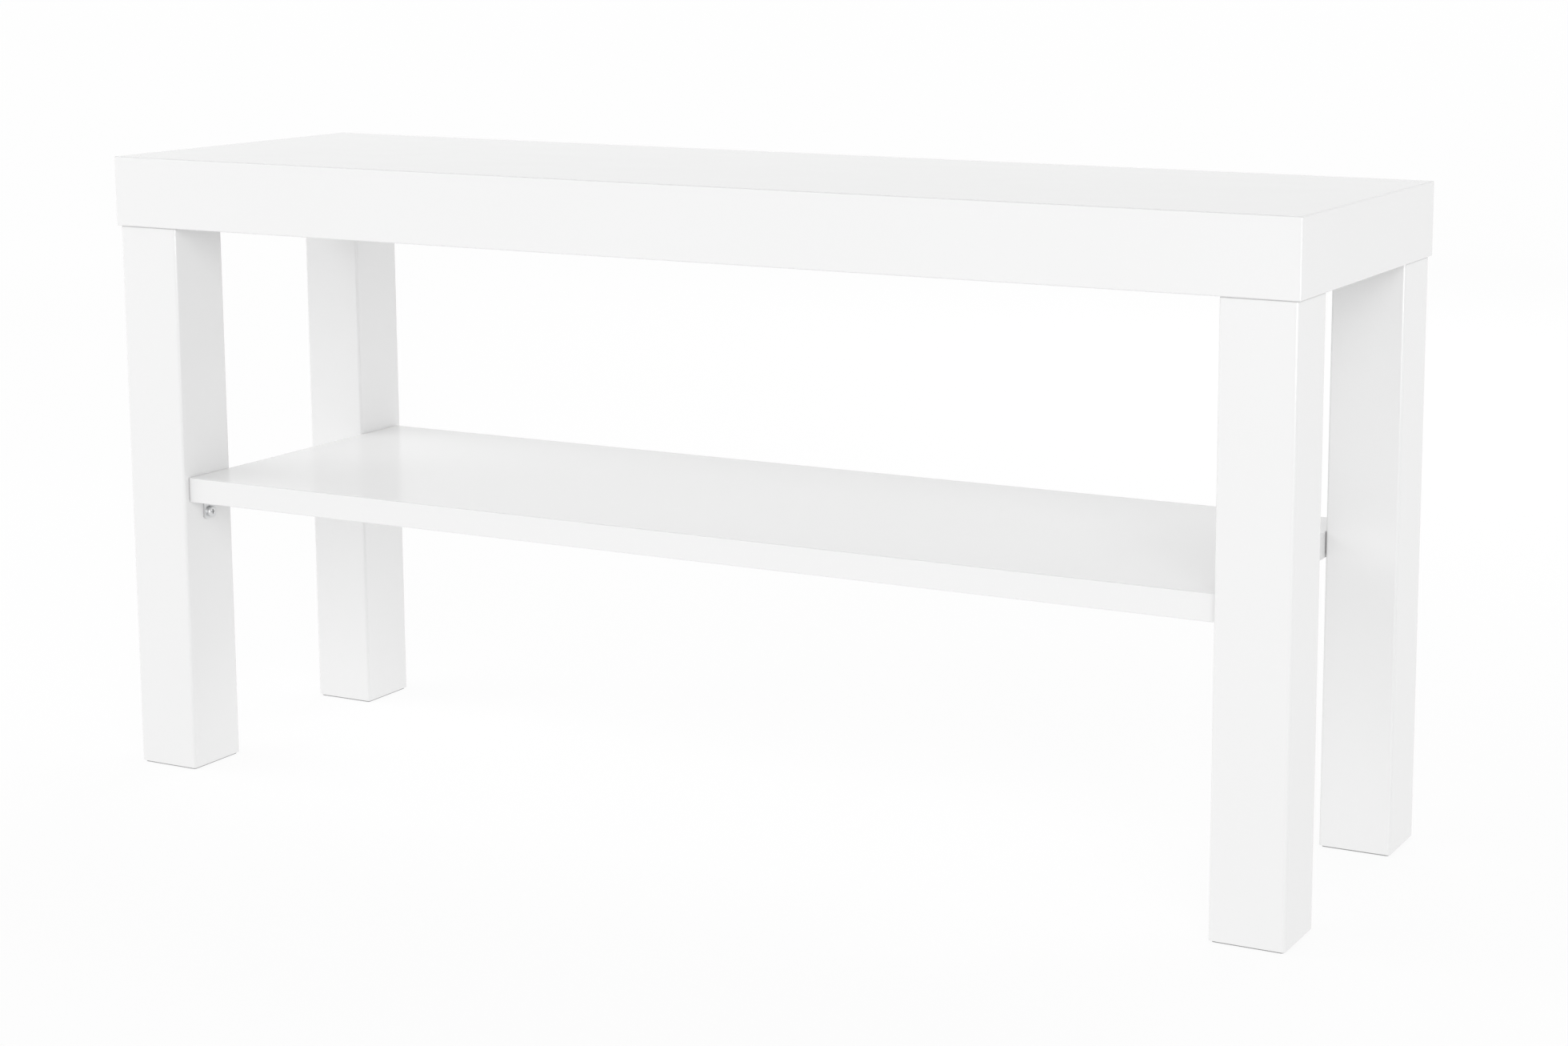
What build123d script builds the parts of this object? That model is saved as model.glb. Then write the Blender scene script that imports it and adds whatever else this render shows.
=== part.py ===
from build123d import *

import os
from math import radians, sin, tan

# Low console table, in millimetres: a thick hollow-core top on four square legs that screw on,
# with a shelf that hangs between the legs on small steel angle brackets.
# +X runs along the length, -Y is the front and +Z is up. The origin is the middle of the
# footprint, on the floor.

# --- whole table ---
table_length = 900.0
table_depth = 260.0
table_height = 450.0
top_thickness = 50.0
leg_side = 50.0
leg_inset = 2.0  # from the top's edges to the outer faces of the legs

# --- top panel: two skins on a frame of rails and corner blocks, filled with paper honeycomb ---
skin_thickness = 3.0
top_band_thickness = 2.0
top_edge_radius = 1.5
rail_width = 20.0
corner_block_side = 70.0
cell_width = 50.0  # across the flats of a honeycomb cell
core_paper = 0.6
glue_bite = 0.1  # how far two ribbons press into each other where they are glued
core_gap = 0.5  # from the honeycomb to the frame around it
cell_angle = 60.0  # slope of a ribbon between two glued flats, in degrees

# --- legs: a folded fibreboard sleeve on three blocks, with a glide under it ---
sleeve_wall = 4.0
sleeve_edge_radius = 2.0
head_block_height = 80.0
shelf_block_height = 60.0
foot_block_height = 25.0
glide_thickness = 1.2
glide_inset = 1.5  # from the leg's faces to the glide's edge

# --- double-ended bolts between the legs and the top ---
bolt_diameter = 8.0
bolt_in_top = 34.0
bolt_in_leg = 46.0
bolt_point_length = 6.0
bolt_clearance = 0.15  # all round, and well under the play that would let a leg rock
bolt_end_space = 2.0

# --- shelf ---
shelf_thickness = 18.0
shelf_underside = 200.0
shelf_setback = 5.0  # from the legs' front and rear faces to the shelf's edges
shelf_end_gap = 0.5
shelf_band_thickness = 1.0
shelf_edge_radius = 0.8

# --- angle brackets ---
bracket_width = 12.0
bracket_thickness = 1.5
bracket_bend_radius = 1.0  # inside the bend
bracket_corner_radius = 2.0
bracket_hole_diameter = 4.0
screw_offset = 10.0  # from the bracket's outer corner to a screw
screw_edge_distance = 5.0  # from a screw to the flange's free end

# --- bracket screws ---
screw_diameter = 3.5
screw_head_diameter = 8.0
screw_head_height = 2.5
leg_screw_length = 16.0
shelf_screw_length = 13.0
screw_clearance = 0.1
screw_end_space = 1.0
recess_span = 4.6
recess_slot = 1.1
recess_depth = 1.4

# --- worked out from the sizes above ---
half_length = table_length / 2
half_depth = table_depth / 2
top_underside = table_height - top_thickness
frame_half_length = half_length - top_band_thickness
frame_half_depth = half_depth - top_band_thickness
frame_bottom = top_underside + skin_thickness
frame_top = table_height - skin_thickness
block_half_length = frame_half_length - corner_block_side
block_half_depth = frame_half_depth - corner_block_side
leg_x = half_length - leg_inset - leg_side / 2
leg_y = half_depth - leg_inset - leg_side / 2
leg_inner_x = leg_x - leg_side / 2
sleeve_hollow = leg_side - 2 * sleeve_wall
shelf_length = 2 * (leg_inner_x - shelf_end_gap)
shelf_depth = 2 * (leg_y + leg_side / 2 - shelf_setback)
bracket_flange = screw_offset + screw_edge_distance
leg_screw_z = shelf_underside - screw_offset
shelf_screw_x = leg_inner_x - screw_offset

UP = (0, 0, 1)
DOWN = (0, 0, -1)
INWARD = (-1, 0, 0)  # from the right legs towards the middle of the table
OUTWARD = (1, 0, 0)
STANDING = (Align.CENTER, Align.CENTER, Align.MIN)
CORNERS = {
    "front_left": (-1, -1),
    "front_right": (1, -1),
    "rear_left": (-1, 1),
    "rear_right": (1, 1),
}


def block(x_low, x_high, y_low, y_high, z_low, z_high):
    """A box between two limits on each axis."""
    size = (x_high - x_low, y_high - y_low, z_high - z_low)
    return Pos(x_low, y_low, z_low) * Box(*size, align=(Align.MIN,) * 3)


def post(side, z_low, z_high):
    """A square post on the leg's centre line."""
    return Pos(leg_x, leg_y, z_low) * Box(side, side, z_high - z_low, align=STANDING)


def drilling(mouth, direction, diameter, depth):
    """The round bar that a drill removes from a mouth on a surface, along a direction."""
    return Plane(origin=mouth, z_dir=direction) * Cylinder(diameter / 2, depth, align=STANDING)


def at_corner(piece, side_x, side_y):
    """Corner pieces are made for the rear right leg; the other three are its mirror images."""
    if side_x < 0:
        piece = piece.mirror(Plane.YZ)
    if side_y < 0:
        piece = piece.mirror(Plane.XZ)
    return piece


def four_corners(piece):
    """One group of four like pieces, one at each leg."""
    return Part() + [at_corner(piece, *sides) for sides in CORNERS.values()]


def edge_bands(outline, band):
    """Four bands around a panel, cut from its rounded outline.

    The front and rear bands run the whole length, and the end bands fit between them.
    """
    limits = outline.bounding_box()
    x, y = limits.max.X, limits.max.Y
    z_low, z_high = limits.min.Z, limits.max.Z
    inner_x, inner_y = x - band, y - band
    return {
        "front": outline & block(-x, x, -y, -inner_y, z_low, z_high),
        "rear": outline & block(-x, x, inner_y, y, z_low, z_high),
        "left": outline & block(-x, -inner_x, -inner_y, inner_y, z_low, z_high),
        "right": outline & block(inner_x, x, -inner_y, inner_y, z_low, z_high),
    }


# --- top panel ---
def top_outline():
    """The whole top, rounded along every edge."""
    x, y = half_length, half_depth
    return fillet(block(-x, x, -y, y, top_underside, table_height).edges(), top_edge_radius)


def top_skin():
    x, y = frame_half_length, frame_half_depth
    return block(-x, x, -y, y, frame_top, table_height)


def underside_skin():
    """Lower skin, with a clearance hole over each leg for its bolt."""
    x, y = frame_half_length, frame_half_depth
    skin = block(-x, x, -y, y, top_underside, frame_bottom)
    hole = drilling((leg_x, leg_y, top_underside), UP, bolt_diameter + 2 * bolt_clearance, skin_thickness)
    return skin - four_corners(hole)


def top_rails():
    """Rails of the frame; each runs between two corner blocks."""
    x, y = frame_half_length, frame_half_depth
    inner_x, inner_y = x - rail_width, y - rail_width
    along, across = block_half_length, block_half_depth
    return {
        "front_rail": block(-along, along, -y, -inner_y, frame_bottom, frame_top),
        "rear_rail": block(-along, along, inner_y, y, frame_bottom, frame_top),
        "left_rail": block(-x, -inner_x, -across, across, frame_bottom, frame_top),
        "right_rail": block(inner_x, x, -across, across, frame_bottom, frame_top),
    }


def corner_block():
    """Solid block over a leg, which takes the upper end of its bolt."""
    x, y = frame_half_length, frame_half_depth
    wood = block(block_half_length, x, block_half_depth, y, frame_bottom, frame_top)
    depth = bolt_in_top + bolt_end_space - skin_thickness
    return wood - drilling((leg_x, leg_y, frame_bottom), UP, bolt_diameter + 2 * bolt_clearance, depth)


def ribbon(low, high, first_flat_high, reach):
    """One paper ribbon of the honeycomb, seen from above: a trapezoid wave along X.

    Its flats lie by turns at the low and high lines, where they are glued to the next ribbons.
    The corners of the two faces are mitred, so the paper is as thick on slopes as on flats.
    """
    run = (high - low) / tan(radians(cell_angle))
    cell_side = (high - low) / sin(radians(cell_angle))
    period = 2 * (cell_side + run)
    mitre = core_paper / 2 * tan(radians(cell_angle / 2))
    waves = int(reach / period) + 1
    upper_face, lower_face = [], []
    for wave in range(-waves, waves + 1):
        middle = wave * period + (0 if first_flat_high else period / 2)
        crest, foot = cell_side / 2, cell_side / 2 + run
        for x, level, lift in (
            (middle - foot, low, -mitre),
            (middle - crest, high, -mitre),
            (middle + crest, high, mitre),
            (middle + foot, low, mitre),
        ):
            upper_face.append((x + lift, level + core_paper / 2))
            lower_face.append((x - lift, level - core_paper / 2))
    wave_face = make_face(Polyline(*upper_face, *reversed(lower_face), close=True))
    return wave_face & Rectangle(2 * reach, 2 * table_depth)


def honeycomb_core():
    """Expanded paper honeycomb: ribbons side by side, each the mirror image of the last.

    The outer ribbons stop at the corner blocks, and the others run from end rail to end rail.
    """
    wave_height = cell_width / 2
    pitch = wave_height + core_paper - glue_bite
    half_width = frame_half_depth - rail_width - core_gap
    count = int(2 * half_width / pitch)
    faces = []
    for number in range(count):
        low = (number - count / 2) * pitch + core_paper / 2
        high = low + wave_height
        outermost = max(abs(low), abs(high)) + core_paper / 2 + core_gap
        long_reach = frame_half_length - rail_width - core_gap
        short_reach = min(long_reach, block_half_length - core_gap)
        reach = long_reach if outermost < block_half_depth else short_reach
        faces.append(ribbon(low, high, number % 2 == 0, reach))
    comb = faces[0] + faces[1:]
    return Pos(0, 0, frame_bottom) * extrude(comb, frame_top - frame_bottom)


# --- legs ---
def leg_sleeve():
    """Square tube with rounded upright edges and a pilot hole for the bracket's screw."""
    tube = post(leg_side, glide_thickness, top_underside)
    tube = fillet(tube.edges().filter_by(Axis.Z), sleeve_edge_radius)
    tube -= post(sleeve_hollow, glide_thickness, top_underside)
    return tube - leg_screw_pilot()


def leg_screw_pilot():
    depth = leg_screw_length - bracket_thickness + screw_end_space
    mouth = (leg_inner_x, leg_y, leg_screw_z)
    return drilling(mouth, OUTWARD, screw_diameter + 2 * screw_clearance, depth)


def head_block():
    """Block in the top of a leg, which takes the lower end of the bolt."""
    wood = post(sleeve_hollow, top_underside - head_block_height, top_underside)
    depth = bolt_in_leg + bolt_end_space
    return wood - drilling((leg_x, leg_y, top_underside), DOWN, bolt_diameter + 2 * bolt_clearance, depth)


def shelf_block():
    """Block behind the bracket, which its screw bites into."""
    half = shelf_block_height / 2
    return post(sleeve_hollow, leg_screw_z - half, leg_screw_z + half) - leg_screw_pilot()


def foot_block():
    return post(sleeve_hollow, glide_thickness, glide_thickness + foot_block_height)


def glide():
    return post(leg_side - 2 * glide_inset, 0, glide_thickness)


def leg_bolt():
    """Double-ended bolt: its pointed end bites into the leg's head block, its flat end into the top."""
    radius = bolt_diameter / 2
    low = top_underside - bolt_in_leg
    high = top_underside + bolt_in_top
    profile = Polyline(
        (0, low),
        (radius, low + bolt_point_length),
        (radius, high),
        (0, high),
        close=True,
    )
    half_section = Plane.XZ * make_face(profile)
    return Pos(leg_x, leg_y, 0) * revolve(half_section, Axis.Z)


# --- shelf ---
def shelf_outline():
    """The whole shelf, rounded along its front and rear edges; its ends butt against the legs."""
    x, y = shelf_length / 2, shelf_depth / 2
    shelf = block(-x, x, -y, y, shelf_underside, shelf_underside + shelf_thickness)
    return fillet(shelf.edges().filter_by(Axis.X), shelf_edge_radius)


def shelf_board():
    """Board between the four edge bands, with pilot holes for the bracket screws."""
    x = shelf_length / 2 - shelf_band_thickness
    y = shelf_depth / 2 - shelf_band_thickness
    board = block(-x, x, -y, y, shelf_underside, shelf_underside + shelf_thickness)
    depth = shelf_screw_length - bracket_thickness + screw_end_space
    mouth = (shelf_screw_x, leg_y, shelf_underside)
    pilot = drilling(mouth, UP, screw_diameter + 2 * screw_clearance, depth)
    return board - four_corners(pilot)


# --- brackets and their screws ---
def bracket():
    """Bent steel strip: one flange on the leg's inner face, the other under the shelf."""
    strip = Pos(leg_inner_x, shelf_underside) * (
        Pos(-bracket_flange / 2, -bracket_thickness / 2) * Rectangle(bracket_flange, bracket_thickness)
        + Pos(-bracket_thickness / 2, -bracket_flange / 2) * Rectangle(bracket_thickness, bracket_flange)
    )
    bend = strip.vertices().sort_by_distance((leg_inner_x, shelf_underside, 0))[0]
    strip = fillet(bend, bracket_bend_radius + bracket_thickness)
    crook = (leg_inner_x - bracket_thickness, shelf_underside - bracket_thickness, 0)
    inside = strip.vertices().sort_by_distance(crook)[0]
    strip = fillet(inside, bracket_bend_radius)
    bent = Pos(0, leg_y, 0) * extrude(Plane.XZ * strip, bracket_width / 2, both=True)
    free_ends = bent.faces().sort_by(Axis.X)[0].edges().filter_by(Axis.Z)
    free_ends += bent.faces().sort_by(Axis.Z)[0].edges().filter_by(Axis.X)
    bent = fillet(free_ends, bracket_corner_radius)
    bent -= drilling((leg_inner_x, leg_y, leg_screw_z), INWARD, bracket_hole_diameter, bracket_thickness)
    mouth = (shelf_screw_x, leg_y, shelf_underside)
    return bent - drilling(mouth, DOWN, bracket_hole_diameter, bracket_thickness)


def pan_head_screw(seat, direction, length):
    """Cross-recess screw with a plain shank; its head stands on the seat and faces along the direction."""
    head = Cylinder(screw_head_diameter / 2, screw_head_height, align=STANDING)
    slot = Box(recess_span, recess_slot, 2 * recess_depth)
    head -= Pos(0, 0, screw_head_height) * (slot + Rot(Z=90) * slot)
    shank = Cylinder(screw_diameter / 2, length, align=(Align.CENTER, Align.CENTER, Align.MAX))
    return Plane(origin=seat, z_dir=direction) * (head + shank)


def leg_screw():
    seat = (leg_inner_x - bracket_thickness, leg_y, leg_screw_z)
    return pan_head_screw(seat, INWARD, leg_screw_length)


def shelf_screw():
    seat = (shelf_screw_x, leg_y, shelf_underside - bracket_thickness)
    return pan_head_screw(seat, DOWN, shelf_screw_length)


# --- all pieces, by the name of their node ---
def table_pieces():
    pieces = {
        "top_skin": top_skin(),
        "underside_skin": underside_skin(),
        "honeycomb_core": honeycomb_core(),
        **top_rails(),
    }
    for side, band in edge_bands(top_outline(), top_band_thickness).items():
        pieces[f"top_{side}_band"] = band

    pieces["shelf_board"] = shelf_board()
    for side, band in edge_bands(shelf_outline(), shelf_band_thickness).items():
        pieces[f"shelf_{side}_band"] = band

    corner_pieces = {
        "corner_block": corner_block(),
        "leg_sleeve": leg_sleeve(),
        "leg_head_block": head_block(),
        "leg_shelf_block": shelf_block(),
        "leg_foot_block": foot_block(),
        "leg_glide": glide(),
        "shelf_bracket": bracket(),
    }
    for name, piece in corner_pieces.items():
        for corner, sides in CORNERS.items():
            pieces[f"{corner}_{name}"] = at_corner(piece, *sides)

    pieces["leg_bolts"] = four_corners(leg_bolt())
    pieces["bracket_leg_screws"] = four_corners(leg_screw())
    pieces["bracket_shelf_screws"] = four_corners(shelf_screw())
    return pieces


os.makedirs("parts", exist_ok=True)
for node, shape in table_pieces().items():
    export_step(shape, f"parts/{node}.step")
print("pieces written:", len(os.listdir("parts")))
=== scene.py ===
"""Low white console table: its visible pieces, finishes and studio stage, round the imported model."""
import math

import bmesh
import bpy
from bpy.props import FloatProperty, FloatVectorProperty, IntProperty, PointerProperty
from mathutils import Euler, Matrix, Vector


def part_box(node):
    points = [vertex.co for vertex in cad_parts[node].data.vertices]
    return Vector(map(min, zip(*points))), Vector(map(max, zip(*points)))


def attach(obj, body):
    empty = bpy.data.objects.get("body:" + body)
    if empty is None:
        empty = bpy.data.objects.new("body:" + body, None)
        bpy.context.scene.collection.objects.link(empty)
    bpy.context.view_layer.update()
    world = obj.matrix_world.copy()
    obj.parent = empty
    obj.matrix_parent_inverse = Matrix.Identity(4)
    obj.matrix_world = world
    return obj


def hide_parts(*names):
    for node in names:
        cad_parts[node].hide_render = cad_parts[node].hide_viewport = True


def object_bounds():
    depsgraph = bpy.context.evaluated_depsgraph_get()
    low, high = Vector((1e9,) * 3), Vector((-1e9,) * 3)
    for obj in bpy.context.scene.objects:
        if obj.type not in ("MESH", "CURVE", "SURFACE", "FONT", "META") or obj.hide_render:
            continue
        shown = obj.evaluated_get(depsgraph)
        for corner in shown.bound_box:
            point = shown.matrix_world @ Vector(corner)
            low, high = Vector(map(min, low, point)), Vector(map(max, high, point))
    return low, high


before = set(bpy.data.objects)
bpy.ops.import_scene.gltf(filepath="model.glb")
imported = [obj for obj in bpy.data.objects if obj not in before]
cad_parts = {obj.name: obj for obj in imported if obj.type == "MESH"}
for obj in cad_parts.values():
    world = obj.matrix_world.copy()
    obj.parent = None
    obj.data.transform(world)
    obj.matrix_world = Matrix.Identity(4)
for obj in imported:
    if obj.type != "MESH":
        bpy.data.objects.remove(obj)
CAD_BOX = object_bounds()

bl_info = {
    "name": "Console Table",
    "version": (1, 0, 0),
    "blender": (4, 5, 0),
    "location": "View3D > Sidebar > Console Table",
    "description": "Dresses a low white console table and sets it on a plain studio stage",
    "category": "Object",
}

# Everything is in metres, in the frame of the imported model: +X along the length, -Y the front, +Z up.
BODY = "root"
CORNERS = ("front_left", "front_right", "rear_left", "rear_right")
SIDES = ("front", "rear", "left", "right")
LAMPS = {  # where each stands, its width and its height
    "left": ((-2.2, -0.6, 1.8), 1.6, 1.6),
    "left_front": ((-1.8, -2.4, 1.2), 1.4, 1.4),
    "front": ((1.8, -2.4, 1.6), 1.6, 1.6),
    "rear": ((0.0, 2.4, 1.55), 2.4, 0.6),
    "rear_high": ((-0.5, 1.6, 2.2), 2.0, 1.0),
    "rear_right": ((1.8, 2.2, 1.5), 1.6, 1.6),
    "strip": ((2.1, -1.55, 0.2), 1.6, 0.35),
}
X, Y, Z = 0, 1, 2
TINY = 1e-6  # two coordinates closer than this are the same
MIDDLE = 0.5  # of a noise that runs from 0 to 1
CRISP_ANGLE = math.radians(35)  # faces that meet at more than this keep a crisp edge
RIM_ANGLE = math.radians(60)  # edges that turn more than this are rims, not facets of a curve
CUT_THROUGH = 1.5  # depth of a drilled hole, in thicknesses of the wall it goes through
CIRCLE_STEPS = 32
CORNER_STEPS = 5  # facets across a bracket's free corner
FINE_STEPS = 2  # facets across a very small edge
ROUND_PROFILE = 0.5  # the bevel tool's value for a circular arc


# --- what a user would change ---
def length(name, description, default):
    return FloatProperty(
        name=name, description=description, default=default, min=0, unit="LENGTH", precision=5
    )


def amount(name, description, default, high=1.0):
    return FloatProperty(
        name=name, description=description, default=default, min=0, max=high, precision=4
    )


def angle(name, description, degrees):
    return FloatProperty(name=name, description=description, default=math.radians(degrees), unit="ROTATION")


def colour(name, description, default):
    return FloatVectorProperty(
        name=name, description=description, default=default, min=0, max=1, size=3, subtype="COLOR"
    )


def power(name, description, watts):
    return FloatProperty(name=name, description=description, default=watts, min=0, unit="POWER")


class TableShape(bpy.types.PropertyGroup):
    """Small sizes of the table's own pieces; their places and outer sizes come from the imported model."""

    top_edge_radius: length("Top edge radius", "Rounding of the top's edges", 0.001)
    leg_edge_radius: length("Leg edge radius", "Rounding of a leg's upright edges", 0.002)
    leg_head_chamfer: length("Leg head chamfer", "Chamfer that sets a leg off from the top", 0.0008)
    leg_wall: length("Leg wall", "Thickness of the folded sleeve round a leg", 0.004)
    shelf_edge_radius: length("Shelf edge radius", "Rounding of the shelf's long edges", 0.0008)
    glide_corner_radius: length("Glide corner radius", "Rounding of a glide's upright edges", 0.002)
    glide_edge_chamfer: length("Glide edge chamfer", "Chamfer round a glide's two faces", 0.0002)
    edge_steps: IntProperty(name="Edge steps", description="Facets across a rounded edge", default=6, min=1)


class BracketShape(bpy.types.PropertyGroup):
    """Sizes of the angle brackets and of the screws that hold them."""

    thickness: length("Thickness", "Thickness of the bent steel strip", 0.0015)
    bend_radius: length("Bend radius", "Radius inside the bend", 0.001)
    corner_radius: length("Corner radius", "Rounding of a flange's two free corners", 0.002)
    burr_radius: length("Edge softness", "Rounding of the stamped edges", 0.0002)
    hole_diameter: length("Hole diameter", "Hole for a screw", 0.004)
    screw_offset: length("Screw offset", "From the bracket's outer corner to a screw", 0.010)
    screw_diameter: length("Screw diameter", "Over the thread", 0.0035)
    screw_core: length("Screw core", "Diameter under the thread", 0.0024)
    screw_pitch: length("Screw pitch", "From one turn of the thread to the next", 0.0014)
    screw_point: length("Screw point", "Length of the tapered point", 0.003)
    head_diameter: length("Head diameter", "Pan head", 0.008)
    head_height: length("Head height", "Pan head", 0.0025)
    head_rim: length("Head rim", "Height of the straight rim under the dome", 0.0006)
    recess_span: length("Recess span", "Cross recess, from arm end to arm end", 0.0046)
    recess_slot: length("Recess slot", "Width of an arm of the cross recess", 0.0011)
    recess_depth: length("Recess depth", "Depth of the cross recess", 0.0014)


class TableFinishes(bpy.types.PropertyGroup):
    """Colours and sheen of the table's materials."""

    lacquer_colour: colour("Lacquer", "White lacquer, foil and edging", (0.79, 0.79, 0.791))
    lacquer_shade: colour("Lacquer shade", "The deeper white that drifts through it", (0.777, 0.777, 0.776))
    lacquer_roughness: amount("Lacquer roughness", "Sheen of the lacquer", 0.17)
    peel_size: length("Peel size", "Width of a wave of the lacquer's orange peel", 0.0025)
    peel_depth: length("Peel depth", "Depth of the orange peel", 0.000004)
    zinc_colour: colour("Zinc plate", "Bright zinc plate", (0.72, 0.725, 0.73))
    zinc_shade: colour("Zinc shade", "Duller patches of the zinc plate", (0.60, 0.605, 0.61))
    glide_colour: colour("Glides", "Grey hard plastic", (0.30, 0.30, 0.30))
    chip_light: colour("Light chips", "Pale chips of the particleboard", (0.62, 0.45, 0.27))
    chip_dark: colour("Dark chips", "Dark chips of the particleboard", (0.30, 0.19, 0.10))
    paper_colour: colour("Kraft paper", "Honeycomb paper", (0.42, 0.27, 0.14))


class StudioStage(bpy.types.PropertyGroup):
    """Floor, light and camera."""

    cove_radius: length("Cove radius", "From the middle of the floor to the wall round it", 6.0)
    cove_height: length("Cove height", "Height of the wall", 5.0)
    cove_sweep: length("Cove sweep", "Radius of the curve between floor and wall", 1.2)
    cove_colour: colour("Cove colour", "What the cove gives back of the light on it", (0.12, 0.12, 0.12))
    floor_glow: amount("Floor glow", "Light that the floor, lit from below, gives of itself", 0.87, high=5)
    rim_glow: amount("Rim glow", "The same, out where the lamps reach less", 0.9, high=5)
    wall_glow: amount("Wall glow", "Light that the wall, lit from behind, gives of itself", 0.87, high=5)
    ceiling: amount("Ceiling", "Brightness of the studio above the cove", 0.4, high=5)
    left_power: power("Left light", "Soft light high at the left", 16.8)
    left_front_power: power("Left front light", "Soft light in front, at the left", 8.1)
    front_power: power("Front light", "Soft light in front, at the right", 22.9)
    rear_power: power("Rear light", "Wide soft light behind", 17.2)
    rear_high_power: power("High rear light", "Soft light behind, higher up", 2.4)
    rear_right_power: power("Right rear light", "Soft light behind, at the right", 7.1)
    strip_power: power("Strip light", "Low strip that the table's corners mirror", 16)
    camera_place: FloatVectorProperty(
        name="Camera place", description="Where the camera stands",
        default=(1.007, -1.720, 0.623), subtype="TRANSLATION",
    )
    camera_heading: angle("Camera heading", "Turn to the left of straight ahead", 26.48)
    camera_tilt: angle("Camera tilt", "How far the camera looks down", 8.89)
    camera_roll: angle("Camera roll", "Turn about the line of sight", 0.14)
    camera_lens: FloatProperty(name="Lens", description="Focal length in millimetres", default=66.24)
    shift_across: FloatProperty(name="Shift across", description="Sideways shift of the lens", default=-0.1)
    shift_up: FloatProperty(name="Shift up", description="Vertical shift of the lens", default=-0.1)


# --- shader nodes ---
class Socket:
    """An output of a shader node. Arithmetic on it adds Math nodes."""

    def __init__(self, graph, output):
        self.graph = graph
        self.output = output

    def calculate(self, operation, first, second):
        return self.graph.add("Math", {"operation": operation}, {0: first, 1: second})

    def __add__(self, other):
        return self.calculate("ADD", self, other)

    def __radd__(self, other):
        return self.calculate("ADD", other, self)

    def __sub__(self, other):
        return self.calculate("SUBTRACT", self, other)

    def __rsub__(self, other):
        return self.calculate("SUBTRACT", other, self)

    def __mul__(self, other):
        return self.calculate("MULTIPLY", self, other)

    def __rmul__(self, other):
        return self.calculate("MULTIPLY", other, self)


class Graph:
    """The node tree of a material or of the world."""

    def __init__(self, tree):
        self.tree = tree
        tree.nodes.clear()

    @staticmethod
    def pick(sockets, key):
        if isinstance(key, int):
            return sockets[key]
        return next(socket for socket in sockets if socket.enabled and socket.name == key)

    def add(self, kind, settings=None, inputs=None, output=0):
        """Adds a node, sets its settings, then fills its sockets, and gives one of its outputs."""
        node = self.tree.nodes.new("ShaderNode" + kind)
        for name, setting in (settings or {}).items():
            setattr(node, name, setting)
        for key, value in (inputs or {}).items():
            socket = self.pick(node.inputs, key)
            if isinstance(value, Socket):
                self.tree.links.new(value.output, socket)
            else:
                socket.default_value = value
        return Socket(self, self.pick(node.outputs, output)) if node.outputs else None

    def blend(self, factor, first, second):
        """A colour between two others."""
        return self.add("Mix", {"data_type": "RGBA"}, {"Factor": factor, "A": first, "B": second}, "Result")

    def noise(self, place, size, detail=2.0, stretch=(1, 1, 1)):
        """Cloudy values from 0 to 1, in clouds about as wide as size, drawn out by stretch on each axis."""
        scale = tuple(1 / (size * times) for times in stretch)
        spread = self.add("Mapping", {"vector_type": "POINT"}, {"Vector": place, "Scale": scale})
        return self.add("TexNoise", {}, {"Vector": spread, "Scale": 1.0, "Detail": detail})

    def bump(self, height, depth):
        """Surface relief of that depth, in metres."""
        return self.add("Bump", {}, {"Height": height, "Distance": depth, "Strength": 1.0})


def opaque(shade):
    return (*shade, 1.0)


def grey(value):
    return (value, value, value, 1.0)


def dimmed(shade, share):
    """A colour scaled down, opaque."""
    return opaque(tuple(channel * share for channel in shade))


def new_finish(name):
    """An empty material, its graph, and the place of a point on the table, in metres."""
    material = bpy.data.materials.new(name)
    material.use_nodes = True
    graph = Graph(material.node_tree)
    return material, graph, graph.add("TexCoord", output="Object")


def close_finish(graph, inputs):
    shader = graph.add("BsdfPrincipled", {}, inputs)
    graph.add("OutputMaterial", {}, {"Surface": shader})


def white_finish(name, finishes, sheen_shift, grain, grain_stretch):
    """White lacquer, foil or edging: a drifting white, uneven sheen and a faint relief."""
    drift_size, smudge_size = 0.18, 0.06
    smudge_spread = 0.02  # from the glossiest to the dullest smudge, in roughness
    peel_share, grain_share = 0.7, 0.3
    lacquer_index = 1.5
    material, graph, place = new_finish(name)
    drift = graph.noise(place, size=drift_size)
    smudges = graph.noise(place, size=smudge_size, detail=3)
    peel = graph.noise(place, size=finishes.peel_size, detail=1)
    relief = graph.noise(place, size=grain, stretch=grain_stretch)
    roughness = finishes.lacquer_roughness + sheen_shift
    close_finish(graph, {
        "Base Color": graph.blend(drift, opaque(finishes.lacquer_colour), opaque(finishes.lacquer_shade)),
        "Roughness": (smudges - MIDDLE) * smudge_spread + roughness,
        "IOR": lacquer_index,
        "Normal": graph.bump(peel * peel_share + relief * grain_share, finishes.peel_depth),
    })
    return material


def white_lacquered_board(name, finishes):
    return white_finish(name, finishes, sheen_shift=0.0, grain=0.006, grain_stretch=(1, 1, 1))


def white_edging(name, finishes):
    """Extruded edge band, with a little drawn grain along its length."""
    return white_finish(name, finishes, sheen_shift=0.01, grain=0.0012, grain_stretch=(12, 12, 1))


def white_foil_fibreboard(name, finishes):
    """Foil drawn up and down the leg."""
    return white_finish(name, finishes, sheen_shift=0.0, grain=0.0015, grain_stretch=(1, 1, 10))


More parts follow.
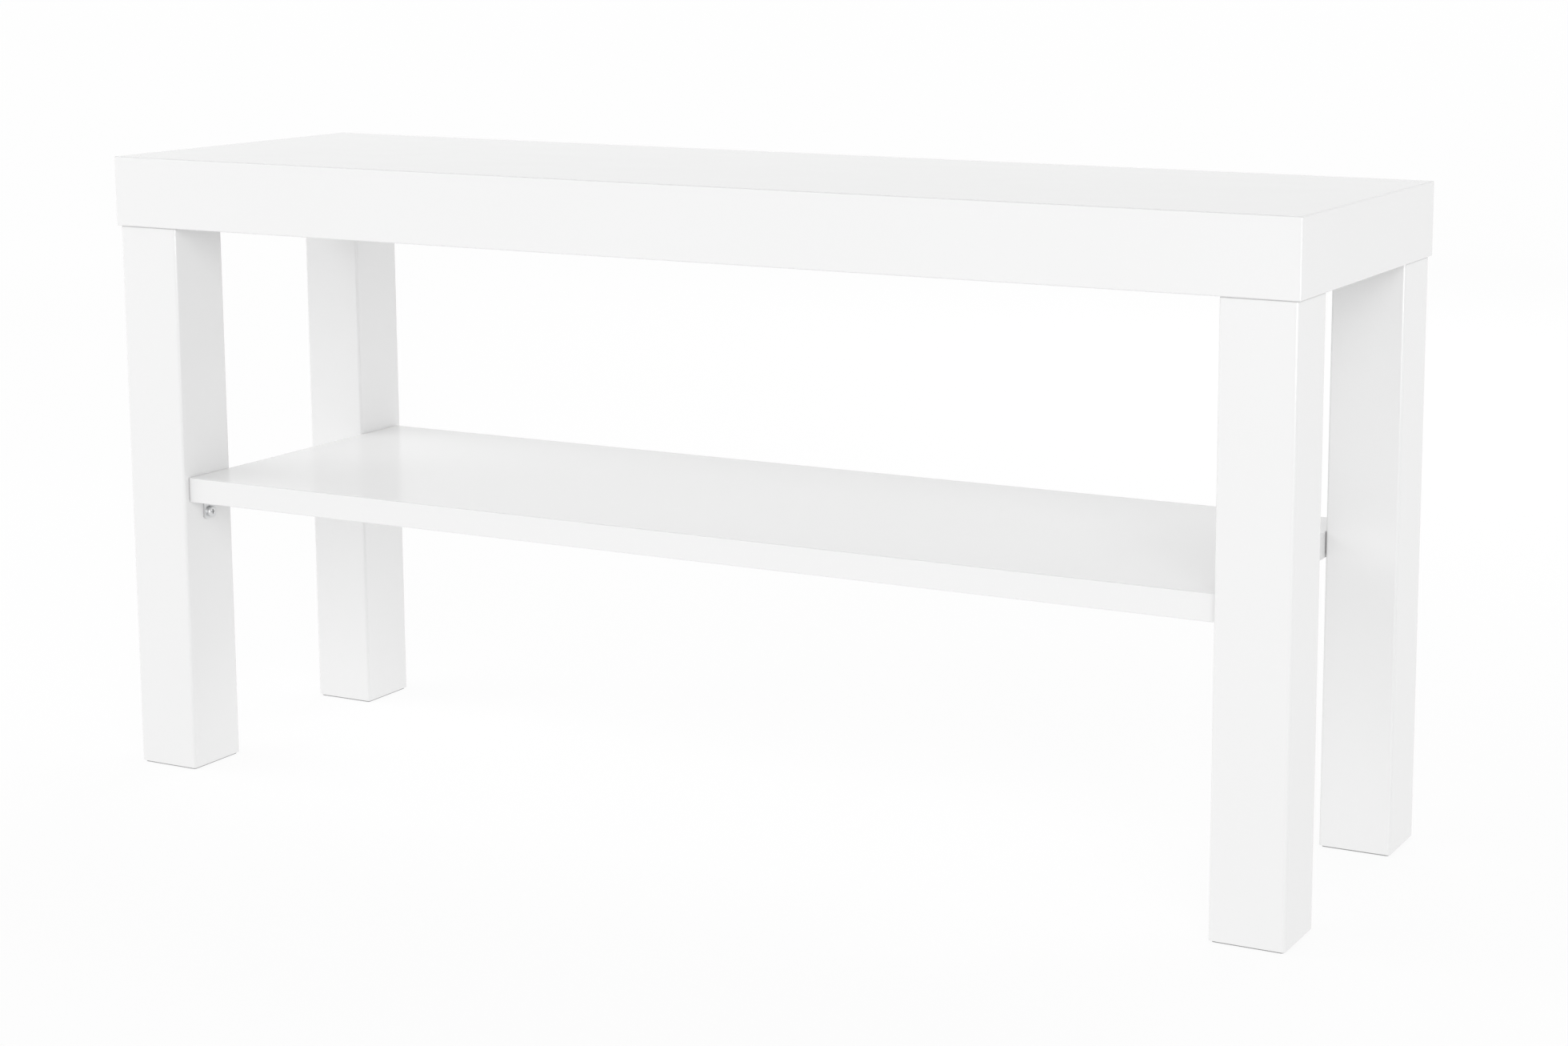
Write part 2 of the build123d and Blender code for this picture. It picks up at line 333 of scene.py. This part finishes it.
def zinc_plated_steel(name, finishes):
    """Bright zinc plate with duller patches and fine rolling marks."""
    patch_size, mark_width, mark_depth = 0.003, 0.0004, 0.000006
    smoothest, patch_spread, mark_spread = 0.2, 0.18, 0.08  # roughness, and what is added to it
    material, graph, place = new_finish(name)
    patches = graph.noise(place, size=patch_size, detail=3)
    marks = graph.noise(place, size=mark_width, stretch=(1, 12, 1))
    close_finish(graph, {
        "Base Color": graph.blend(patches, opaque(finishes.zinc_colour), opaque(finishes.zinc_shade)),
        "Metallic": 1.0,
        "Roughness": patches * patch_spread + marks * mark_spread + smoothest,
        "Normal": graph.bump(marks, mark_depth),
    })
    return material


def glide_plastic(name, finishes):
    """Hard plastic with a fine spark-eroded texture."""
    grain_size, grain_depth, drift_size = 0.0005, 0.00002, 0.01
    smoothest, grain_spread = 0.45, 0.15
    worn_share = 0.9  # brightness of the darker parts
    material, graph, place = new_finish(name)
    grain = graph.noise(place, size=grain_size)
    drift = graph.noise(place, size=drift_size)
    worn = dimmed(finishes.glide_colour, worn_share)
    close_finish(graph, {
        "Base Color": graph.blend(drift, opaque(finishes.glide_colour), worn),
        "Roughness": grain * grain_spread + smoothest,
        "Normal": graph.bump(grain, grain_depth),
    })
    return material


def particleboard(name, finishes):
    """Pressed wood chips of mixed shades, with open pores between them."""
    chips_per_metre = (300, 300, 700)
    dust_size, pore_depth = 0.0012, 0.0002
    chip_share, dust_share, pore_share = 0.7, 0.3, 0.6
    smoothest, dust_spread = 0.75, 0.15
    material, graph, place = new_finish(name)
    chips = graph.add("Mapping", {"vector_type": "POINT"}, {"Vector": place, "Scale": chips_per_metre})
    shade = graph.add("TexVoronoi", {}, {"Vector": chips, "Scale": 1.0, "Randomness": 1.0}, "Color")
    pores = graph.add("TexVoronoi", {}, {"Vector": chips, "Scale": 1.0, "Randomness": 1.0}, "Distance")
    lightness = graph.add("SeparateColor", {}, {"Color": shade}, "Red")
    dust = graph.noise(place, size=dust_size, detail=4)
    tone = lightness * chip_share + dust * dust_share
    close_finish(graph, {
        "Base Color": graph.blend(tone, opaque(finishes.chip_dark), opaque(finishes.chip_light)),
        "Roughness": dust * dust_spread + smoothest,
        "Normal": graph.bump(dust - pores * pore_share, pore_depth),
    })
    return material


def kraft_paper(name, finishes):
    """Brown paper with darker fibres."""
    fibre_width, fibre_depth = 0.0008, 0.00005
    smoothest, fibre_spread = 0.85, 0.1
    fibre_share = 0.7  # brightness of the fibres
    material, graph, place = new_finish(name)
    fibres = graph.noise(place, size=fibre_width, detail=6, stretch=(4, 4, 1))
    deeper = dimmed(finishes.paper_colour, fibre_share)
    close_finish(graph, {
        "Base Color": graph.blend(fibres, opaque(finishes.paper_colour), deeper),
        "Roughness": fibres * fibre_spread + smoothest,
        "Normal": graph.bump(fibres, fibre_depth),
    })
    return material


FINISHES = {
    "white_lacquered_board": white_lacquered_board,
    "white_edging": white_edging,
    "white_foil_fibreboard": white_foil_fibreboard,
    "particleboard": particleboard,
    "kraft_paper": kraft_paper,
    "zinc_plated_steel": zinc_plated_steel,
    "glide_plastic": glide_plastic,
}


def finish_of(slot):
    """The finish of one of the record's slots, made the first time that it is asked for."""
    name = slot + "_finish"
    return bpy.data.materials.get(name) or FINISHES[slot](name, bpy.context.scene.table_finishes)


# --- mesh tools ---
def block(low, high):
    """A closed box between two corners."""
    mesh = bmesh.new()
    bmesh.ops.create_cube(mesh, size=1.0)
    low, high = Vector(low), Vector(high)
    bmesh.ops.scale(mesh, vec=high - low, verts=mesh.verts)
    bmesh.ops.translate(mesh, vec=(low + high) / 2, verts=mesh.verts)
    return mesh


def turned(profile, steps):
    """A surface turned about Z from (radius, height) points, closed if they start and end on the axis."""
    mesh = bmesh.new()
    points = [mesh.verts.new((radius, 0, height)) for radius, height in profile]
    lines = [mesh.edges.new(ends) for ends in zip(points, points[1:])]
    bmesh.ops.spin(
        mesh, geom=points + lines, axis=(0, 0, 1), angle=math.tau, steps=steps, use_merge=True
    )
    bmesh.ops.remove_doubles(mesh, verts=mesh.verts, dist=TINY)
    bmesh.ops.recalc_face_normals(mesh, faces=mesh.faces)
    return mesh


def level(edge, axis, value):
    """Whether both ends of an edge lie at that value on an axis."""
    return all(abs(vertex.co[axis] - value) < TINY for vertex in edge.verts)


def along(edge, axis):
    """Whether an edge runs along an axis."""
    start, end = (vertex.co for vertex in edge.verts)
    return all(abs(start[other] - end[other]) < TINY for other in (X, Y, Z) if other != axis)


def round_edges(mesh, edges, radius, steps):
    """Rounds edges to a radius; a single step is a chamfer."""
    bmesh.ops.bevel(
        mesh, geom=edges, offset=radius, segments=steps, profile=ROUND_PROFILE, affect="EDGES",
        clamp_overlap=True,
    )


def loose_object(mesh, name):
    data = bpy.data.meshes.new(name)
    mesh.to_mesh(data)
    mesh.free()
    made = bpy.data.objects.new(name, data)
    bpy.context.scene.collection.objects.link(made)
    return made


def cut(mesh, tool):
    """Takes one closed solid out of another."""
    body, cutter = loose_object(mesh, "cut_body"), loose_object(tool, "cut_tool")
    modifier = body.modifiers.new("cut", "BOOLEAN")
    modifier.object = cutter
    modifier.solver = "EXACT"
    left_over = bmesh.new()
    left_over.from_object(body, bpy.context.evaluated_depsgraph_get())
    for used in (body, cutter):
        data = used.data
        bpy.data.objects.remove(used)
        bpy.data.meshes.remove(data)
    return left_over


def drill(mesh, mouth, direction, diameter, depth):
    """Drills a round hole along a direction, as far behind its mouth as into it."""
    radius = diameter / 2
    bit = turned([(0, -depth), (radius, -depth), (radius, depth), (0, depth)], CIRCLE_STEPS)
    bmesh.ops.transform(bit, matrix=standing_on(mouth, direction), verts=bit.verts)
    return cut(mesh, bit)


def standing_on(seat, direction):
    """Turns +Z to a direction and moves the origin to a seat."""
    return Matrix.Translation(seat) @ Vector(direction).to_track_quat("Z", "Y").to_matrix().to_4x4()


def join(meshes):
    """One mesh of several that stay separate inside it."""
    together = bmesh.new()
    for mesh in meshes:
        data = bpy.data.meshes.new("joined")
        mesh.to_mesh(data)
        mesh.free()
        together.from_mesh(data)
        bpy.data.meshes.remove(data)
    return together


def place_piece(name, mesh, slot, *nodes):
    """Makes a piece of the table that stands for CAD nodes, in one of the record's finishes."""
    bmesh.ops.recalc_face_normals(mesh, faces=mesh.faces)
    piece = loose_object(mesh, name)
    piece.data.materials.append(finish_of(slot))
    piece.data.shade_smooth()
    piece.data.set_sharp_from_angle(angle=CRISP_ANGLE)
    flatten = piece.modifiers.new("even faces", "WEIGHTED_NORMAL")
    flatten.keep_sharp = True
    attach(piece, BODY)
    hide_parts(*nodes)
    return piece


def repaint(node, slot):
    """Gives a CAD node that stays in view its finish."""
    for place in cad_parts[node].material_slots:
        place.material = finish_of(slot)


# --- pieces ---
def edge_band(node, radius, steps, wraps_corners):
    """An edge band, rounded on its outer side. One that wraps the corners is rounded at its ends too."""
    low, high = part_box(node)
    across = X if high.x - low.x < high.y - low.y else Y
    outer, inner = (low[across], high[across]) if low[across] < 0 else (high[across], low[across])
    mesh = block(low, high)
    if wraps_corners:
        edges = [edge for edge in mesh.edges if not level(edge, across, inner)]
    else:
        edges = [edge for edge in mesh.edges if level(edge, across, outer) and not along(edge, Z)]
    round_edges(mesh, edges, radius, steps)
    return mesh


def leg_sleeve(corner, shape, bracket):
    """Square tube with rounded edges, chamfered at its head, with a pilot hole for the bracket's screw."""
    low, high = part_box(f"{corner}_leg_sleeve")
    mesh = block(low, high)
    uprights = [edge for edge in mesh.edges if along(edge, Z)]
    round_edges(mesh, uprights, shape.leg_edge_radius, shape.edge_steps)
    head = [edge for edge in mesh.edges if level(edge, Z, high.z)]
    round_edges(mesh, head, shape.leg_head_chamfer, 1)
    wall = Vector((shape.leg_wall, shape.leg_wall, 0))
    overrun = Vector((0, 0, shape.leg_wall))
    mesh = cut(mesh, block(low + wall - overrun, high - wall + overrun))
    seat, inward = leg_screw_seat(corner, bracket)
    wall_face = seat - inward * bracket.thickness
    return drill(mesh, wall_face, -inward, bracket.screw_diameter, shape.leg_wall * CUT_THROUGH)


def glide(corner, shape):
    """Thin plastic plate under a leg, rounded at its corners and chamfered round both faces."""
    low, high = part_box(f"{corner}_leg_glide")
    mesh = block(low, high)
    uprights = [edge for edge in mesh.edges if along(edge, Z)]
    round_edges(mesh, uprights, shape.glide_corner_radius, shape.edge_steps)
    rims = [edge for edge in mesh.edges if level(edge, Z, low.z) or level(edge, Z, high.z)]
    round_edges(mesh, rims, shape.glide_edge_chamfer, FINE_STEPS)
    return mesh


def bracket_corner(corner):
    """The outer corner of a bracket, where leg and shelf meet, and the direction to the table's middle."""
    low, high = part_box(f"{corner}_shelf_bracket")
    side = -1 if low.x < 0 else 1
    outer_x = low.x if side < 0 else high.x
    return Vector((outer_x, (low.y + high.y) / 2, high.z)), Vector((-side, 0, 0))


def leg_screw_seat(corner, shape):
    """Where the head of a leg screw sits on the upright flange, and which way it faces."""
    origin, inward = bracket_corner(corner)
    return origin + inward * shape.thickness - Vector((0, 0, shape.screw_offset)), inward


def shelf_screw_seat(corner, shape):
    """Where the head of a shelf screw sits under the level flange, and which way it faces."""
    origin, inward = bracket_corner(corner)
    return origin + inward * shape.screw_offset - Vector((0, 0, shape.thickness)), Vector((0, 0, -1))


def angle_bracket(corner, shape):
    """Steel strip bent round a corner, with rounded free ends and a hole in each flange."""
    low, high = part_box(f"{corner}_shelf_bracket")
    origin, inward = bracket_corner(corner)
    flange, width = high.z - low.z, high.y - low.y
    outside = bend_arc(shape.bend_radius + shape.thickness, shape.bend_radius + shape.thickness)
    inside = bend_arc(shape.bend_radius, shape.bend_radius + shape.thickness)
    outline = [(0, -flange), *outside, (flange, 0)]
    outline += [(flange, -shape.thickness), *reversed(inside), (shape.thickness, -flange)]
    mesh = bmesh.new()
    section = [mesh.verts.new(origin + inward * x + Vector((0, -width / 2, z))) for x, z in outline]
    mesh.faces.new(section)
    sweep = bmesh.ops.extrude_face_region(mesh, geom=mesh.faces[:])["geom"]
    swept = [item for item in sweep if isinstance(item, bmesh.types.BMVert)]
    bmesh.ops.translate(mesh, vec=(0, width, 0), verts=swept)
    free_ends = [edge for edge in mesh.edges if free_corner(edge, low, origin, inward, flange)]
    round_edges(mesh, free_ends, shape.corner_radius, CORNER_STEPS)
    mesh.normal_update()
    rims = [edge for edge in mesh.edges if edge.calc_face_angle(0) > RIM_ANGLE]
    round_edges(mesh, rims, shape.burr_radius, FINE_STEPS)
    for seat, facing in (leg_screw_seat(corner, shape), shelf_screw_seat(corner, shape)):
        back = seat - facing * shape.thickness
        mesh = drill(mesh, back, facing, shape.hole_diameter, shape.thickness * CUT_THROUGH)
    return mesh


def bend_arc(radius, centre, steps=6):
    """Points of a quarter turn from the upright flange to the level one."""
    turns = [math.pi - math.pi / 2 * step / steps for step in range(steps + 1)]
    return [(centre + radius * math.cos(turn), -centre + radius * math.sin(turn)) for turn in turns]


def free_corner(edge, low, origin, inward, flange):
    """Whether an edge is one of the short ones at a flange's free end."""
    tip = origin.x + inward.x * flange
    return (along(edge, X) and level(edge, Z, low.z)) or (along(edge, Z) and level(edge, X, tip))


def pan_head_screw(screw_length, shape):
    """Wood screw with a domed pan head, a cross recess, a cut thread and a tapered point."""
    rim, dome = shape.head_rim, shape.head_height - shape.head_rim
    head, core = shape.head_diameter / 2, shape.screw_core / 2
    bulge = 0.55  # at 1 the dome would be an ellipse, and below 1 it is flatter and fuller
    dome_steps, round_steps = 8, 40
    turns = [math.pi / 2 * step / dome_steps for step in range(dome_steps)]
    pan = [(head * math.cos(turn) ** bulge, rim + dome * math.sin(turn) ** bulge) for turn in turns]
    profile = [(0, -screw_length), (core, -screw_length + shape.screw_point), (core, 0), (head, 0)]
    body = turned([*profile, *pan, (0, shape.head_height)], round_steps)
    for quarter in (0, 1):
        body = cut(body, recess_arm(shape, quarter * math.pi / 2))
    return join([body, thread(screw_length, shape)])


def recess_arm(shape, turn):
    """One blade of the cross recess, narrower at its foot."""
    taper = 0.55  # size of the foot beside that of the mouth
    half_span, half_slot = shape.recess_span / 2, shape.recess_slot / 2
    floor = shape.head_height - shape.recess_depth
    ceiling = shape.head_height + shape.recess_depth
    arm = block((-half_span, -half_slot, floor), (half_span, half_slot, ceiling))
    foot = [vertex for vertex in arm.verts if abs(vertex.co.z - floor) < TINY]
    bmesh.ops.scale(arm, vec=(taper, taper, 1), verts=foot)
    bmesh.ops.rotate(arm, matrix=Matrix.Rotation(turn, 3, "Z"), verts=arm.verts)
    return arm


def thread(screw_length, shape, steps=20):
    """A helical ridge round the core, from the point up to the head."""
    sunk, flank = 0.95, 0.3  # the ridge's root beside the core, and half its width beside the pitch
    root, crest = shape.screw_core / 2 * sunk, shape.screw_diameter / 2
    ridge = shape.screw_pitch * flank
    start = -screw_length + shape.screw_point
    turns = (screw_length - shape.screw_point) / shape.screw_pitch - 1
    mesh = bmesh.new()
    corners = ((root, start), (crest, start + ridge), (root, start + 2 * ridge))
    section = mesh.faces.new([mesh.verts.new((radius, 0, height)) for radius, height in corners])
    count = int(turns * steps)
    bmesh.ops.spin(
        mesh, geom=[section, *section.edges, *section.verts], axis=(0, 0, 1),
        dvec=(0, 0, shape.screw_pitch / steps), angle=math.tau * count / steps, steps=count,
    )
    return mesh


# --- operators ---
class CONSOLE_TABLE_OT_top(bpy.types.Operator):
    """Add the rounded edge bands of the top, and finish its two skins"""

    bl_idname = "console_table.top"
    bl_label = "Top"

    def execute(self, context):
        shape = context.scene.table_shape
        for side in SIDES:
            node = f"top_{side}_band"
            band = edge_band(node, shape.top_edge_radius, shape.edge_steps, side in ("front", "rear"))
            place_piece(f"top_{side}_edging", band, "white_edging", node)
        for node in ("top_skin", "underside_skin"):
            repaint(node, "white_lacquered_board")
        return {"FINISHED"}


class CONSOLE_TABLE_OT_legs(bpy.types.Operator):
    """Add the four legs and the glides under them"""

    bl_idname = "console_table.legs"
    bl_label = "Legs"

    def execute(self, context):
        shape, bracket = context.scene.table_shape, context.scene.bracket_shape
        for corner in CORNERS:
            sleeve = leg_sleeve(corner, shape, bracket)
            place_piece(f"{corner}_leg", sleeve, "white_foil_fibreboard", f"{corner}_leg_sleeve")
            place_piece(f"{corner}_glide", glide(corner, shape), "glide_plastic", f"{corner}_leg_glide")
        return {"FINISHED"}


class CONSOLE_TABLE_OT_shelf(bpy.types.Operator):
    """Add the shelf's edge bands, and finish its board"""

    bl_idname = "console_table.shelf"
    bl_label = "Shelf"

    def execute(self, context):
        shape = context.scene.table_shape
        for side in ("front", "rear"):
            node = f"shelf_{side}_band"
            band = edge_band(node, shape.shelf_edge_radius, shape.edge_steps, False)
            place_piece(f"shelf_{side}_edging", band, "white_edging", node)
        repaint("shelf_board", "white_lacquered_board")
        for side in ("left", "right"):
            repaint(f"shelf_{side}_band", "white_edging")
        return {"FINISHED"}


class CONSOLE_TABLE_OT_brackets(bpy.types.Operator):
    """Add the four angle brackets under the shelf"""

    bl_idname = "console_table.brackets"
    bl_label = "Brackets"

    def execute(self, context):
        shape = context.scene.bracket_shape
        for corner in CORNERS:
            bracket = angle_bracket(corner, shape)
            place_piece(f"{corner}_angle_bracket", bracket, "zinc_plated_steel", f"{corner}_shelf_bracket")
        return {"FINISHED"}


class CONSOLE_TABLE_OT_screws(bpy.types.Operator):
    """Add the screws that hold the brackets to the legs and to the shelf"""

    bl_idname = "console_table.screws"
    bl_label = "Screws"

    def execute(self, context):
        shape = context.scene.bracket_shape
        self.place("leg_screws", "bracket_leg_screws", leg_screw_seat, X, shape)
        self.place("shelf_screws", "bracket_shelf_screws", shelf_screw_seat, Z, shape)
        return {"FINISHED"}

    @staticmethod
    def place(name, node, seat_of, axis, shape):
        """One piece of four screws, which reach as far as their CAD node does."""
        low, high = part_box(node)
        screws = []
        for corner in CORNERS:
            seat, facing = seat_of(corner, shape)
            far_end = low[axis] if facing[axis] > 0 else high[axis]
            screw = pan_head_screw(abs(far_end - seat[axis]), shape)
            bmesh.ops.transform(screw, matrix=standing_on(seat, facing), verts=screw.verts)
            screws.append(screw)
        place_piece(name, join(screws), "zinc_plated_steel", node)


class CONSOLE_TABLE_OT_inner_parts(bpy.types.Operator):
    """Finish the frame, blocks, honeycomb and bolts inside the top and the legs"""

    bl_idname = "console_table.inner_parts"
    bl_label = "Inner parts"

    def execute(self, context):
        for side in SIDES:
            repaint(f"{side}_rail", "particleboard")
        for corner in CORNERS:
            for part in ("corner_block", "leg_head_block", "leg_shelf_block", "leg_foot_block"):
                repaint(f"{corner}_{part}", "particleboard")
        repaint("honeycomb_core", "kraft_paper")
        repaint("leg_bolts", "zinc_plated_steel")
        return {"FINISHED"}


def soft_light(name, place, width, height, watts, only_mirrored=False):
    """A soft light aimed at the table's middle and never seen. It either lights or is mirrored."""
    light = bpy.data.lights.new(name, "AREA")
    light.shape = "RECTANGLE"
    light.size, light.size_y = width, height
    light.energy = watts
    lamp = bpy.data.objects.new(name, light)
    lamp.location = place
    middle = (CAD_BOX[0] + CAD_BOX[1]) / 2
    lamp.rotation_euler = (middle - Vector(place)).to_track_quat("-Z", "Y").to_euler()
    lamp.visible_camera = False
    lamp.visible_diffuse = not only_mirrored
    lamp.visible_glossy = only_mirrored
    bpy.context.scene.collection.objects.link(lamp)
    return lamp


def studio_cove(stage):
    """A pale floor that sweeps up into a wall all round, lit through so that only faint shade shows."""
    floor_rings, sweep_steps, round_steps = 6, 12, 96
    cloud_size, cloud_share = 0.5, 0.97
    rim_start, rim_rise = 1.8, 0.55  # where the rim's glow begins, and its growth per metre outward
    wall_start, wall_rise = 0.4, 1.25  # the same for the wall's glow, upward
    inner, sweep = stage.cove_radius - stage.cove_sweep, stage.cove_sweep
    turns = [math.pi / 2 * step / sweep_steps for step in range(sweep_steps + 1)]
    profile = [(inner * ring / floor_rings, 0) for ring in range(floor_rings)]
    profile += [(inner + sweep * math.sin(turn), sweep - sweep * math.cos(turn)) for turn in turns]
    profile.append((stage.cove_radius, stage.cove_height))
    cove = loose_object(turned(profile, round_steps), "studio_cove")
    material, graph, place = new_finish("studio_cove")
    cloud = graph.noise(place, size=cloud_size)
    away = graph.add("VectorMath", {"operation": "LENGTH"}, {"Vector": place}, "Value")
    height = graph.add("SeparateXYZ", {}, {"Vector": place}, "Z")
    clouded = dimmed(stage.cove_colour, cloud_share)
    rim_share = (away - rim_start) * rim_rise
    wall_share = (height - wall_start) * wall_rise
    floor_light = graph.blend(rim_share, grey(stage.floor_glow), grey(stage.rim_glow))
    close_finish(graph, {
        "Base Color": graph.blend(cloud, opaque(stage.cove_colour), clouded),
        "Roughness": 1.0,
        "Specular IOR Level": 0.0,
        "Emission Color": graph.blend(wall_share, floor_light, grey(stage.wall_glow)),
        "Emission Strength": 1.0,
    })
    cove.data.materials.append(material)
    cove.data.shade_smooth()


def pale_ceiling(stage):
    """A plain pale sky above the cove."""
    world = bpy.data.worlds.new("pale_ceiling")
    world.use_nodes = True
    graph = Graph(world.node_tree)
    background = graph.add("Background", {}, {"Color": grey(1.0), "Strength": stage.ceiling})
    graph.add("OutputWorld", {}, {"Surface": background})
    bpy.context.scene.world = world


def studio_camera(stage):
    """The camera, with its lens shifted for the framing."""
    camera = bpy.data.objects.new("camera", bpy.data.cameras.new("camera"))
    camera.data.lens = stage.camera_lens
    camera.data.shift_x, camera.data.shift_y = stage.shift_across, stage.shift_up
    aim = Euler((math.pi / 2 - stage.camera_tilt, 0, stage.camera_heading)).to_matrix()
    roll = Matrix.Rotation(stage.camera_roll, 3, "Z")
    camera.matrix_world = Matrix.Translation(stage.camera_place) @ (aim @ roll).to_4x4()
    bpy.context.scene.collection.objects.link(camera)
    bpy.context.scene.camera = camera


class CONSOLE_TABLE_OT_stage(bpy.types.Operator):
    """Add the pale floor, the soft lights and the camera"""

    bl_idname = "console_table.stage"
    bl_label = "Studio stage"

    def execute(self, context):
        stage = context.scene.studio_stage
        studio_cove(stage)
        pale_ceiling(stage)
        for name, (place, width, height) in LAMPS.items():
            watts = getattr(stage, f"{name}_power")
            soft_light(f"{name}_light", place, width, height, watts, only_mirrored=name == "strip")
        studio_camera(stage)
        context.scene.view_settings.view_transform = "Standard"
        return {"FINISHED"}


class CONSOLE_TABLE_PT_panel(bpy.types.Panel):
    """Lists the console table's pieces"""

    bl_idname = "CONSOLE_TABLE_PT_panel"
    bl_label = "Console Table"
    bl_space_type = "VIEW_3D"
    bl_region_type = "UI"
    bl_category = "Console Table"

    def draw(self, context):
        for operator in OPERATORS:
            self.layout.operator(operator.bl_idname)
        for name in SETTINGS:
            settings = getattr(context.scene, name)
            box = self.layout.box()
            for field in settings.__annotations__:
                box.prop(settings, field)


SETTINGS = {
    "table_shape": TableShape,
    "bracket_shape": BracketShape,
    "table_finishes": TableFinishes,
    "studio_stage": StudioStage,
}
OPERATORS = (
    CONSOLE_TABLE_OT_top,
    CONSOLE_TABLE_OT_legs,
    CONSOLE_TABLE_OT_shelf,
    CONSOLE_TABLE_OT_brackets,
    CONSOLE_TABLE_OT_screws,
    CONSOLE_TABLE_OT_inner_parts,
    CONSOLE_TABLE_OT_stage,
)


def register():
    for group in (*SETTINGS.values(), *OPERATORS, CONSOLE_TABLE_PT_panel):
        bpy.utils.register_class(group)
    for name, group in SETTINGS.items():
        setattr(bpy.types.Scene, name, PointerProperty(type=group))


def unregister():
    for name in SETTINGS:
        delattr(bpy.types.Scene, name)
    for group in reversed((*SETTINGS.values(), *OPERATORS, CONSOLE_TABLE_PT_panel)):
        bpy.utils.unregister_class(group)


def main():
    register()
    bpy.ops.console_table.top()
    bpy.ops.console_table.legs()
    bpy.ops.console_table.shelf()
    bpy.ops.console_table.brackets()
    bpy.ops.console_table.screws()
    bpy.ops.console_table.inner_parts()
    bpy.ops.console_table.stage()


if __name__ == "__main__":
    main()
